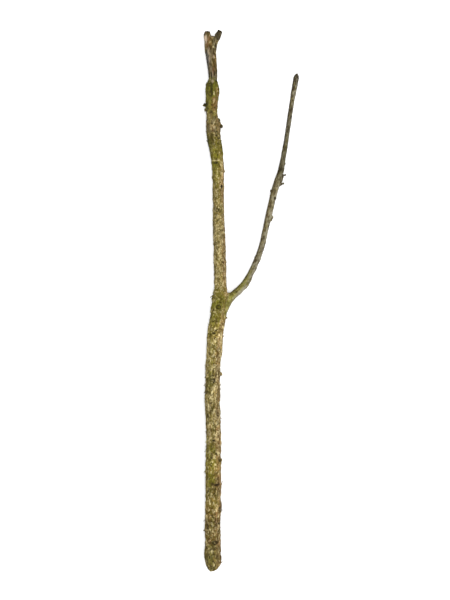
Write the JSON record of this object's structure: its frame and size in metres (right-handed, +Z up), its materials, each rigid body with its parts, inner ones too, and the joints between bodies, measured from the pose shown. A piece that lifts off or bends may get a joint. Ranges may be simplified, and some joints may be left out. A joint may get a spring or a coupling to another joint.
{
  "type": "fallen tree branch",
  "caption": "Fallen branch with flaking bark: a stem with a slanted butt cut, forking into a thicker upper stem with broken stubs and a thin side branch.",
  "frame": {"origin": "middle of the bounding box, on the ground the branch lies on", "axes": "+Y along the stem from the butt to the tips, +X to the side the thin branch forks to, +Z up from the ground"},
  "size_m": [0.1448, 0.8114, 0.027],
  "materials": {
    "lower_bark": "rough flaking bark with a green film of algae and pale flakes",
    "upper_bark": "rough bark, bare weathered wood at the tip",
    "side_bark": "thin grey-green bark"
  },
  "bodies": {
    "root": {"lower_stem": "lower_bark", "upper_stem": "upper_bark", "side_branch": "side_bark"}
  },
  "joints": []
}
